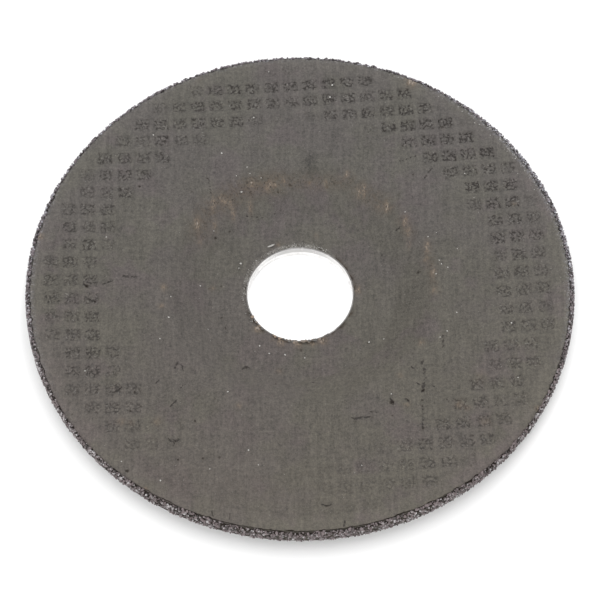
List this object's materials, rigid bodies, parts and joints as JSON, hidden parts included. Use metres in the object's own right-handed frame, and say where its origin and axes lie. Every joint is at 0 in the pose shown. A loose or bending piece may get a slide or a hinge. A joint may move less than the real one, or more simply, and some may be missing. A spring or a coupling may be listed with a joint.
{
  "type": "cut-off wheel",
  "caption": "Depressed-centre abrasive disc for cutting stone, with a glass-fibre net pressed into its face, a rough grain rim and a steel-lined bore.",
  "frame": {"origin": "on the bore's axis, in the plane of the raised back of the hub, which the wheel rests on", "axes": "+Z along the bore's axis towards the hollow front face; +X and +Y across the disc, with the net's weft yarns leaning about 5 degrees from +X"},
  "size_m": [0.115, 0.115, 0.0075],
  "materials": {
    "resin_bonded_grit": "matte",
    "tinned_steel": "satin"
  },
  "bodies": {
    "root": {"abrasive_wheel": "resin_bonded_grit", "bore_ring": "tinned_steel"}
  },
  "joints": []
}
